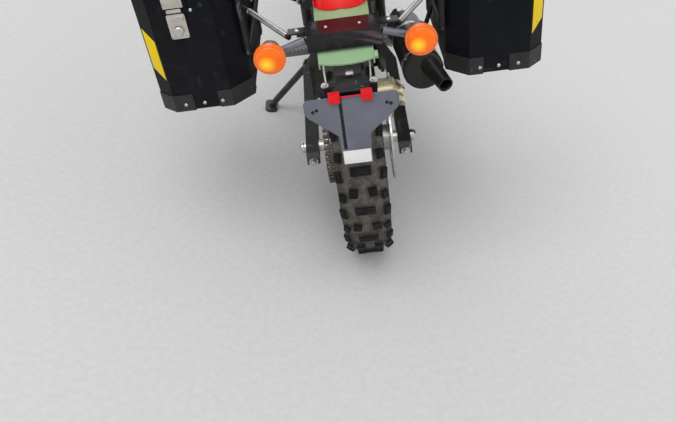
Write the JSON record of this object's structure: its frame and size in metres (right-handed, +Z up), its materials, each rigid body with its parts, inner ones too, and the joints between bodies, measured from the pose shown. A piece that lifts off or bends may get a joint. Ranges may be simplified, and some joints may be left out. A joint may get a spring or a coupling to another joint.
{
  "type": "dual-sport motorcycle",
  "caption": "Solo dual-sport motorcycle with an aluminium box on each side of its tail, leaning on its side stand.",
  "frame": {"origin": "bottom centre of the bounding box, on the floor", "axes": "+Y forward along the motorcycle, +X to its right, +Z up; the motorcycle leans to -X on its side stand"},
  "size_m": [0.9992, 2.295, 1.3204],
  "materials": {
    "frame_paint": "satin",
    "cast_alloy": "cast",
    "arm_alloy": "satin",
    "steel": "brushed",
    "black_steel": "satin",
    "box_paint": "satin",
    "green_plastic": "gloss",
    "black_plastic": "matte",
    "seat_cover": "matte",
    "tyre": "matte",
    "rim_alloy": "satin",
    "disc_steel": "brushed",
    "gold": "satin",
    "chain_steel": "brushed",
    "red_lens": "gloss",
    "orange_lens": "gloss",
    "clear_lens": "clear",
    "latch_steel": "satin",
    "grip_rubber": "matte"
  },
  "bodies": {
    "chassis": {"main_frame": "frame_paint", "subframe": "frame_paint", "swingarm": "arm_alloy", "rear_axle": "steel", "engine_case": "cast_alloy", "cylinder": "cast_alloy", "exhaust_header": "steel", "muffler": "black_steel", "shock_absorber": "steel", "skid_plate": "arm_alloy", "fuel_tank": "green_plastic", "seat": "seat_cover", "side_panels": "green_plastic", "rear_fender": "green_plastic", "inner_fender": "black_plastic", "tail_light": "red_lens", "tail_bar": "black_steel", "rear_signals": "orange_lens", "plate_bracket": "black_steel", "plate_reflectors": "red_lens", "luggage_rack": "black_steel", "pannier_racks": "black_steel", "pannier_box_left": "box_paint", "pannier_box_right": "box_paint", "pannier_corners": "black_plastic", "pannier_latches": "latch_steel", "chain": "chain_steel", "chain_guard": "black_plastic", "rear_caliper": "gold", "foot_controls": "steel", "air_box": "black_plastic"},
    "rear_wheel": {"rear_rim": "rim_alloy", "rear_tyre": "tyre", "rear_sprocket": "steel", "rear_disc": "disc_steel"},
    "fork": {"fork_clamps": "cast_alloy", "fork_tubes": "cast_alloy", "fork_sliders": "steel", "front_axle": "steel", "front_caliper": "gold", "handlebar": "black_steel", "hand_controls": "grip_rubber", "front_fender": "green_plastic", "headlight": "clear_lens", "headlight_cowl": "green_plastic", "mirrors": "black_plastic", "front_signals": "orange_lens", "windscreen": "clear_lens", "instruments": "black_plastic"},
    "front_wheel": {"front_rim": "rim_alloy", "front_tyre": "tyre", "front_disc": "disc_steel"},
    "side_stand": {"side_stand": "black_steel"},
    "pannier_lid_left": {"pannier_lid_left": "box_paint"},
    "pannier_lid_right": {"pannier_lid_right": "box_paint"}
  },
  "joints": [
    {"name": "rear_wheel_spin", "type": "hinge", "parent": "chassis", "child": "rear_wheel", "pos_m": [0.1033, -0.68768, 0.31969], "axis": [0.9703, 0, 0.2419], "continuous": true},
    {"name": "steering", "type": "hinge", "parent": "chassis", "child": "fork", "pos_m": [-0.01858, 0.47445, 0.80853], "axis": [-0.2136, -0.4695, 0.8567], "range_deg": [-38, 38]},
    {"name": "front_wheel_spin", "type": "hinge", "parent": "fork", "child": "front_wheel", "pos_m": [0.09761, 0.80232, 0.3425], "axis": [0.9703, 0, 0.2419], "continuous": true},
    {"name": "side_stand_fold", "type": "hinge", "parent": "chassis", "child": "side_stand", "pos_m": [-0.02482, -0.08368, 0.22591], "axis": [-0.9263, 0, 0.3767], "range_deg": [0, 99]},
    {"name": "pannier_lid_left_hinge", "type": "hinge", "parent": "chassis", "child": "pannier_lid_left", "pos_m": [-0.37615, -0.38068, 0.77524], "axis": [-0.9703, 0, -0.2419], "range_deg": [0, 95]},
    {"name": "pannier_lid_right_hinge", "type": "hinge", "parent": "chassis", "child": "pannier_lid_right", "pos_m": [0.31276, -0.38068, 0.947], "axis": [-0.9703, 0, -0.2419], "range_deg": [0, 95]}
  ]
}
